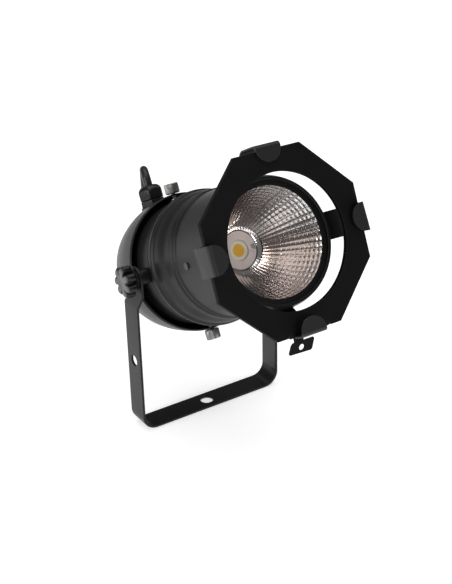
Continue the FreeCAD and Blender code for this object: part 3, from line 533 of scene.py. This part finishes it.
def star_knob(name, side, body, nodes):
    """A seven-lobed clamping knob: round base, rounded lobes and a star-shaped face on its end."""
    lobes = 7
    pitch = 2 * math.pi / lobes
    phase = 0.25 * pitch
    reach, lobe, hub = 9.7, 3.1, 7.6

    def star(scale):
        """Round lobes on a hub, drawn in towards the axis by a scale."""

        def radius(angle):
            off = (angle - phase + pitch / 2) % pitch - pitch / 2
            rest = lobe**2 - (reach * math.sin(off)) ** 2
            out = reach * math.cos(off) + math.sqrt(rest) if rest > 0 else 0
            return scale * max(hub, out)

        return radius

    def circle(radius):
        return lambda angle: radius

    start = ARM_OUTSIDE + WASHER
    rows = [
        (0, circle(7.6)),
        (0.5, circle(8.3)),
        (1.9, circle(8.4)),
        (2.1, star(0.9)),
        (2.5, star(0.95)),
        (3.3, star(0.99)),
        (4.2, star(1)),
        (8.2, star(1)),
        (9.1, star(0.985)),
        (9.7, star(0.95)),
        (10, star(0.9)),
    ]
    out = axes(Vector((0, 1, 0)), Vector((0, 0, side)), Vector((side, 0, 0)), (side * start, 0, PIVOT_HEIGHT))
    mesh = loft(name + "_mesh", rows, out, lobes * 24, sharp=60)
    piece(name, mesh, body, (nodes[0],))
    rows = [
        (9.98, star(0.88)),
        (10.5, star(0.87)),
        (10.85, star(0.83)),
        (11, star(0.76)),
        (10.8, circle(4.6)),
        (10.6, circle(4.2)),
    ]
    face = loft(name + "_end_mesh", rows, out, lobes * 24, sharp=50)
    piece(name + "_end", face, body, (nodes[1],))


barrel()
cap()
gland_nut()
thumbscrew("knurled_screw_top", 1, "top_thumbscrew", "thumbscrew_top")
thumbscrew("knurled_screw_bottom", -1, "bottom_thumbscrew", "thumbscrew_bottom")
star_knob("clamp_knob_left", -1, "knob_left", ("star_knob_left", "knob_disc_left"))
star_knob("clamp_knob_right", 1, "knob_right", ("star_knob_right", "knob_disc_right"))

# ---------------------------------------------------------------- optics

MOUTH, THROAT = 41.5, 15.4
BOWL_BACK, BOWL_FRONT = 60.8, 109.5
FACETS = 54
FACET_ROWS = 10
FACET_STEPS = 6
FLUTED_SHARE = 0.2
FLUTED_ROWS = 12
DIMPLE = 0.0072
FLANGE = 3.4


def reflector():
    """A metallised bowl: flutes near the throat, then rows of pillow facets, and its flange."""
    depth = BOWL_FRONT - 1 - BOWL_BACK
    around = FACETS * FACET_STEPS

    def bowl(share):
        return THROAT + (MOUTH - THROAT) * share**0.62, BOWL_BACK + depth * share

    shares = [FLUTED_SHARE * i / FLUTED_ROWS for i in range(FLUTED_ROWS)]
    rows = FACET_ROWS * FACET_STEPS
    shares += [FLUTED_SHARE + (1 - FLUTED_SHARE) * i / rows for i in range(rows + 1)]
    points, faces = [], []
    for row, share in enumerate(shares):
        radius, height = bowl(share)
        fluted = share <= FLUTED_SHARE
        along = (share - FLUTED_SHARE) / (1 - FLUTED_SHARE) * FACET_ROWS
        swell = 1 if fluted else 1 - (2 * (along % 1) - 1) ** 2
        if share >= 1:
            swell = 0
        for i in range(around):
            angle = 2 * math.pi * i / around
            across = 1 - (2 * (i % FACET_STEPS) / FACET_STEPS - 1) ** 2
            sunk = 0 if fluted else 0.5 * (swell - 1)
            high = DIMPLE * radius * (across * (0.35 + 0.65 * swell) + sunk)
            reach = radius - high
            points.append((reach * math.cos(angle), reach * math.sin(angle), height))
    for row in range(len(shares) - 1):
        low, high = row * around, (row + 1) * around
        for i in range(around):
            j = (i + 1) % around
            faces.append((low + i, low + j, high + j, high + i))
    inside = mesh_of("bowl_inside", points, faces, LAMP, sharp=24)
    back = [(bowl(i / 24)[0] + 1, bowl(i / 24)[1]) for i in range(25)]
    rim = MOUTH + FLANGE
    shell = [(MOUTH, BOWL_FRONT - 1), (MOUTH, BOWL_FRONT), (rim, BOWL_FRONT), (rim, BOWL_FRONT - 1)]
    shell += back[::-1] + [(THROAT, BOWL_BACK)]
    outside = lathe("bowl_outside", shell, LAMP, 144, closed=False)
    whole = joined("reflector_mesh", [inside, outside])
    whole.set_sharp_from_angle(angle=math.radians(24))
    return piece("faceted_reflector", whole, "head", ("reflector",))


LED_BOARD = 57.5
LED_THICK = 1.2


def led():
    """The yellow phosphor disc and the cream ring that holds it."""
    face = LED_BOARD + LED_THICK
    disc = [(0, face), (4.9, face, 0), (4.9, face + 0.42, 0.3), (3.4, face + 0.52, 0.6), (0, face + 0.55)]
    mesh = lathe("phosphor_mesh", rounded(disc), LAMP, 64)
    piece("phosphor", mesh, "head", ("led_emitter",))
    ring = [(4.92, face, 0), (4.92, face + 0.5, 0.3), (5.6, face + 0.75, 0.4)]
    ring += [(7.4, face + 0.7, 0.3), (7.8, face + 0.3, 0.2), (7.8, face, 0)]
    mesh = lathe("led_ring_mesh", rounded(ring), LAMP, 64)
    piece("led_ring", mesh, "head", ("led_dam",))


reflector()
led()

# ---------------------------------------------------------------- plug

PLUG_WAY = Vector((-0.174, -0.985, 0.31)).normalized()
PLUG_FACE = 44
RELIEF_RIBS = 5
PIN_SPREAD = 9.5


def plug():
    """A round earthed plug: ribbed relief, grip, round face with two earth grooves, and two pins."""
    across = Vector((0, 0, 1)).cross(PLUG_WAY).normalized()
    lie = axes(across, PLUG_WAY.cross(across), PLUG_WAY, lead_points()[-1])
    profile = [(3.7, 0, 0.2), (4.4, 0, 0.4)]
    for i in range(RELIEF_RIBS):
        low = 1 + 3.2 * i
        rib, waist = 4.5 + 0.2 * i, 4 + 0.2 * i
        profile += [(rib, low, 0.4), (rib, low + 2.1, 0.4)]
        profile += [(waist, low + 2.3, 0.3), (waist, low + 3, 0.3)]
    profile += [(5.6, 18, 0.8), (10.6, 19.6, 2), (11.4, 23, 3), (12.2, 31, 2)]
    profile += [(17.4, 33.2, 1.4), (18, 35, 1), (18, PLUG_FACE - 0.6, 0.8)]
    profile += [(17.4, PLUG_FACE, 0.5), (0, PLUG_FACE), (0, 0.5), (3.7, 0.5, 0)]
    body = lathe("plug_shell", rounded(profile), lie, 96)
    cutters = []
    for side in (-1, 1):
        low, high = sorted((side * 15.6, side * 19))
        cutters.append(box_mesh("groove", (-2.2, low, 34), (2.2, high, PLUG_FACE + 1), lie))
    body = drilled(body, cutters)
    made = piece("mains_plug", body, "yoke", ("plug_body",))
    pins = []
    for x in (-PIN_SPREAD, PIN_SPREAD):
        place = lie @ Matrix.Translation((x, 0, PLUG_FACE))
        pins.append(lathe("pin", rounded([(0, -0.5), (2.4, -0.5, 0), (2.4, 19, 1.4), (0, 19)]), place, 32))
    pins = piece("plug_contacts", joined("plug_pins_mesh", pins), "yoke", ("plug_pins",))
    return made, pins


plug_piece, pins_piece = plug()

# ---------------------------------------------------------------- materials


GRAIN = 2600
GRAIN_DEPTH = 0.00006
EDGE_WIDTH = 0.0006


def surface(name, dark, light, rough, metallic=0.0, patch=60, bump=0.05, wear=None, painted_reflection=None, **set_to):
    """A procedural finish: blotches of two colours, grain in roughness and bump, and worn edges.

    wear is the colour of the edges. The painted reflection is a colour, the spot it is strongest at, and its
    reach: it paints the warm reflection of the surroundings onto the surface.
    The rest are values for sockets of the shader, with _ for a space.
    """
    made = bpy.data.materials.new(name)
    made.use_nodes = True
    nodes, links = made.node_tree.nodes, made.node_tree.links
    base = nodes["Principled BSDF"]
    base.inputs["Metallic"].default_value = metallic
    for socket, amount in set_to.items():
        base.inputs[socket.replace("_", " ")].default_value = amount
    place = nodes.new("ShaderNodeTexCoord").outputs["Object"]

    def noise(scale, detail=3):
        field = nodes.new("ShaderNodeTexNoise")
        field.inputs["Scale"].default_value = scale
        field.inputs["Detail"].default_value = detail
        links.new(place, field.inputs["Vector"])
        return field.outputs["Fac"]

    def ranged(value, low, high, to_low, to_high):
        change = nodes.new("ShaderNodeMapRange")
        links.new(value, change.inputs["Value"])
        for socket, amount in zip(("From Min", "From Max", "To Min", "To Max"), (low, high, to_low, to_high)):
            change.inputs[socket].default_value = amount
        return change.outputs["Result"]

    def mixed(share, a, b):
        change = nodes.new("ShaderNodeMix")
        change.data_type = "RGBA"
        links.new(share, change.inputs[0])
        for socket, colour in ((6, a), (7, b)):
            if isinstance(colour, tuple):
                change.inputs[socket].default_value = (*colour, 1)
            else:
                links.new(colour, change.inputs[socket])
        return change.outputs[2]

    colour = mixed(ranged(noise(patch), 0.35, 0.65, 0, 1), dark, light)
    if wear is not None:
        bevel = nodes.new("ShaderNodeBevel")
        bevel.samples = 4
        bevel.inputs["Radius"].default_value = EDGE_WIDTH
        shape = nodes.new("ShaderNodeNewGeometry")
        dot = nodes.new("ShaderNodeVectorMath")
        dot.operation = "DOT_PRODUCT"
        links.new(bevel.outputs["Normal"], dot.inputs[0])
        links.new(shape.outputs["Normal"], dot.inputs[1])
        edge = ranged(dot.outputs["Value"], 0.86, 0.985, 1, 0)
        broken = nodes.new("ShaderNodeMath")
        broken.operation = "MULTIPLY"
        links.new(edge, broken.inputs[0])
        links.new(ranged(noise(420), 0.42, 0.62, 0.25, 1), broken.inputs[1])
        colour = mixed(broken.outputs["Value"], colour, wear)
    # Painted reflection: a warm colour is mixed into the base colour, fully at the spot and fading out by its
    # reach. It stands in for a reflection.
    if painted_reflection is not None:
        near, spot, reach = painted_reflection
        away = nodes.new("ShaderNodeVectorMath")
        away.operation = "DISTANCE"
        links.new(place, away.inputs[0])
        away.inputs[1].default_value = spot
        colour = mixed(ranged(away.outputs["Value"], 0.3 * reach, reach, 0, 1), near, colour)
    links.new(colour, base.inputs["Base Color"])
    grains = noise(GRAIN, 2)
    links.new(ranged(grains, 0.3, 0.7, rough - 0.05, rough + 0.06), base.inputs["Roughness"])
    raised = nodes.new("ShaderNodeBump")
    raised.inputs["Strength"].default_value = bump
    raised.inputs["Distance"].default_value = GRAIN_DEPTH
    links.new(grains, raised.inputs["Height"])
    links.new(raised.outputs["Normal"], base.inputs["Normal"])
    return made


PAINT = surface(
    "satin_black", (0.0105, 0.0105, 0.0107), (0.0125, 0.0125, 0.0127), 0.36,
    bump=0.3, wear=(0.05, 0.05, 0.05), Specular_IOR_Level=0.2,
)
DULL_PAINT = surface(
    "matt_black", (0.0046, 0.0046, 0.0048), (0.0056, 0.0056, 0.0058), 0.6,
    bump=0.3, wear=(0.028, 0.028, 0.028), Specular_IOR_Level=0.08,
)
CLIP_PAINT = surface(
    "clip_black", (0.009, 0.009, 0.0092), (0.0105, 0.0105, 0.0107), 0.46,
    bump=0.3, wear=(0.05, 0.05, 0.05), Specular_IOR_Level=0.35,
)
HOLDER = surface("holder_plastic", (0.66, 0.57, 0.53), (0.72, 0.63, 0.59), 0.45, patch=200, bump=0.2)
FINISHES = {
    "painted_black": PAINT,
    "label": surface(
        "label_film", (0.03, 0.03, 0.031), (0.036, 0.036, 0.037), 0.55,
        wear=(0.09, 0.09, 0.09),
    ),
    "bright_zinc": surface("zinc", (0.5, 0.51, 0.53), (0.58, 0.59, 0.6), 0.32, 1.0, bump=0.2),
    "black_screw": surface(
        "black_oxide", (0.022, 0.022, 0.023), (0.03, 0.03, 0.031), 0.38,
        bump=0.2, wear=(0.2, 0.2, 0.2),
    ),
    "brass": surface("brass_plain", (0.68, 0.5, 0.24), (0.74, 0.56, 0.28), 0.25, 1.0, bump=0.15),
    "nickel": surface("nickel_plate", (0.27, 0.265, 0.255), (0.33, 0.325, 0.315), 0.36, 1.0, bump=0.15),
    "black_plastic": surface(
        "black_nylon", (0.007, 0.007, 0.0073), (0.009, 0.009, 0.0093), 0.28,
        bump=0.3, wear=(0.03, 0.03, 0.03), Specular_IOR_Level=0.28,
    ),
    "grey_plastic": surface(
        "grey_nylon", (0.07, 0.07, 0.072), (0.1, 0.1, 0.103), 0.42,
        bump=0.5, wear=(0.14, 0.14, 0.14),
    ),
    "rubber": surface("seal_rubber", (0.02, 0.02, 0.02), (0.03, 0.03, 0.03), 0.7, bump=0.3),
    "cord": surface(
        "lead_sheath", (0.008, 0.008, 0.0083), (0.011, 0.011, 0.0113), 0.36,
        patch=120, bump=0.4, Specular_IOR_Level=0.4,
    ),
    "reflector": surface(
        "metallised", (0.78, 0.78, 0.785), (0.86, 0.86, 0.865), 0.1, 1.0,
        bump=0.02,
        # Painted reflection: a pinkish-brown patch near the throat paints the reflection of the warm
        # surroundings onto the bowl.
        painted_reflection=((0.6, 0.49, 0.44), LAMP @ Vector((-22, 22, 76)), 0.06),
    ),
    "retaining_ring": surface(
        "ring_black", (0.004, 0.004, 0.0042), (0.0055, 0.0055, 0.0057), 0.5,
        bump=0.3, wear=(0.02, 0.02, 0.02), Specular_IOR_Level=0.2,
    ),
    "circuit_board": surface(
        "board_green", (0.03, 0.13, 0.05), (0.05, 0.19, 0.08), 0.4,
        patch=300, bump=0.2,
    ),
    "led_substrate": surface(
        "white_substrate", (0.7, 0.69, 0.66), (0.78, 0.77, 0.74), 0.45,
        patch=400, bump=0.2,
    ),
    "led_yellow": surface(
        "phosphor_yellow", (0.78, 0.4, 0.03), (0.86, 0.5, 0.06), 0.38,
        patch=900, bump=0.5,
    ),
    "white_plastic": surface(
        "cream_plastic", (0.74, 0.71, 0.6), (0.8, 0.77, 0.66), 0.4,
        patch=300, bump=0.3,
    ),
    "sink_aluminium": surface(
        "cast_aluminium", (0.28, 0.28, 0.28), (0.36, 0.36, 0.36), 0.42, 1.0,
        bump=0.4,
    ),
    "wire": surface("wire_sheath", (0.2, 0.2, 0.21), (0.32, 0.32, 0.34), 0.45, patch=300, bump=0.2),
}

OWN_FINISH = {node: DULL_PAINT for node in ("filter_frame", "frame_back_leaf")}
OWN_FINISH.update({"filter_clip_" + side: CLIP_PAINT for side in ("top", "right", "bottom", "left")})
OWN_FINISH["led_holder"] = HOLDER

slot_of = {part["node"]: part["material_slot"] for part in frame["record"]["subparts"]}
for node, shown in frame["nodes"].items():
    if shown.type != "MESH":
        continue
    shown.data.materials.clear()
    shown.data.materials.append(OWN_FINISH.get(node, FINISHES[slot_of[node]]))
REPLACED = {
    "mains_lead": "cord",
    "spun_barrel": "painted_black",
    "drum_cap": "painted_black",
    "domed_gland_nut": "black_plastic",
    "knurled_screw_top": "nickel",
    "knurled_screw_bottom": "nickel",
    "clamp_knob_left": "black_plastic",
    "clamp_knob_left_end": "grey_plastic",
    "clamp_knob_right": "black_plastic",
    "clamp_knob_right_end": "grey_plastic",
    "faceted_reflector": "reflector",
    "phosphor": "led_yellow",
    "led_ring": "white_plastic",
    "mains_plug": "black_plastic",
    "plug_contacts": "brass",
}
for name, finish in REPLACED.items():
    made = bpy.data.objects[name]
    made.data.materials.clear()
    made.data.materials.append(FINISHES[finish])

# ---------------------------------------------------------------- edges of the carried-over parts

ROUND_EDGES = {
    "yoke_bar": 0.35,
    "filter_frame": 0.22,
    "frame_back_leaf": 0.2,
    "filter_clip_top": 0.25,
    "filter_clip_right": 0.25,
    "filter_clip_bottom": 0.25,
    "filter_clip_left": 0.25,
    "gland_body": 0.4,
    "knob_washer_left": 0.2,
    "knob_washer_right": 0.2,
    "pivot_spacer_left": 0.3,
    "pivot_spacer_right": 0.3,
    "clip_rivets": 0.5,
    "side_screws": 0.35,
    "earth_screw": 0.4,
    "retaining_ring": 0.3,
    "led_holder": 0.3,
    "holder_screws": 0.25,
}
for node, width in ROUND_EDGES.items():
    shown = frame["nodes"][node]
    weld = shown.modifiers.new("weld", "WELD")
    weld.merge_threshold = 0.00001
    bevel = shown.modifiers.new("edges", "BEVEL")
    bevel.width = width * MM
    bevel.segments = 2
    bevel.limit_method = "ANGLE"
    bevel.angle_limit = math.radians(40)
    bevel.harden_normals = False
    shown.modifiers.new("normals", "WEIGHTED_NORMAL")
